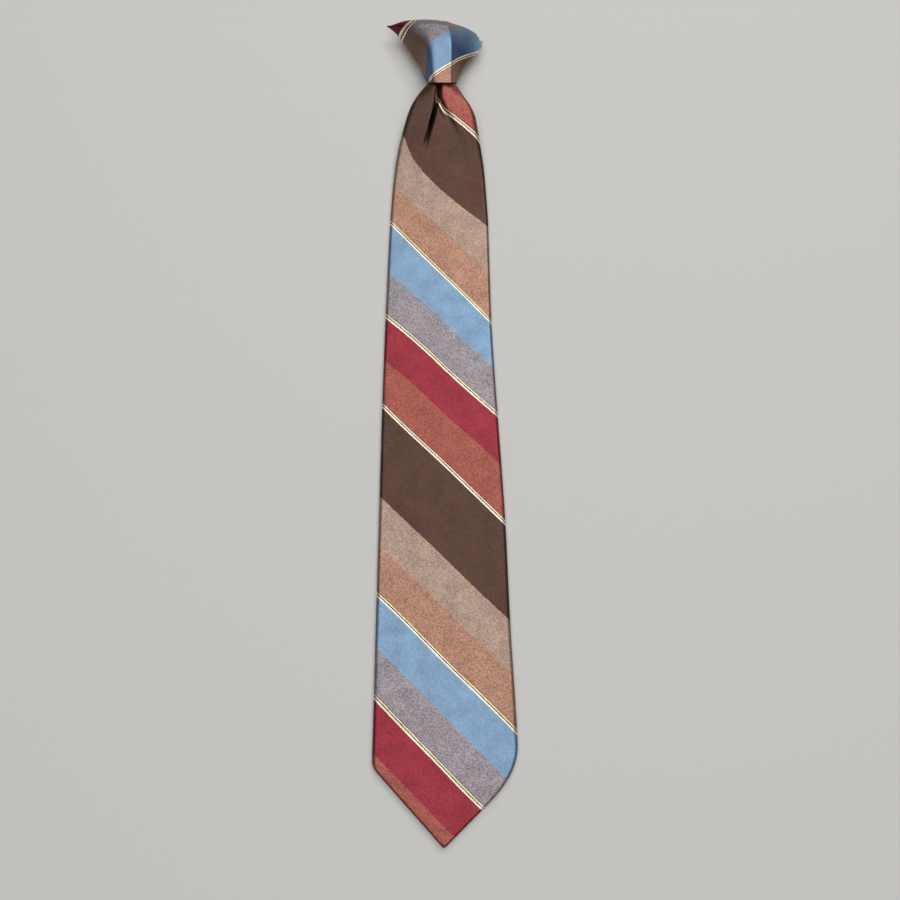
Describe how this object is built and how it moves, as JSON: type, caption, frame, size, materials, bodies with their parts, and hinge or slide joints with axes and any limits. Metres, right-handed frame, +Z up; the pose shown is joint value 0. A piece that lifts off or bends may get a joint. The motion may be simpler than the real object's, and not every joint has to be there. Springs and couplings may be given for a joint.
{
  "type": "clip-on tie",
  "caption": "Ready-tied clip-on necktie lying face up: a striped blade with a pointed end, a winged knot and a plastic collar clip behind it.",
  "frame": {"origin": "middle of the tie's footprint, on the surface that it lies on", "axes": "+Y along the tie from its point to its knot, +Z up out of its face, +X to the right seen from above with the knot at the top"},
  "size_m": [0.0838, 0.5432, 0.0277],
  "materials": {
    "blade_cloth": "satin-faced polyester in wide diagonal stripes of brown, tan, copper, light blue, grey, crimson and rust, with thin cream double lines",
    "knot_cloth": "the same striped polyester, its stripes running the other way",
    "clip_plastic": "smooth white moulded plastic"
  },
  "bodies": {
    "root": {"blade": "blade_cloth", "knot": "knot_cloth", "clip": "clip_plastic"}
  },
  "joints": []
}
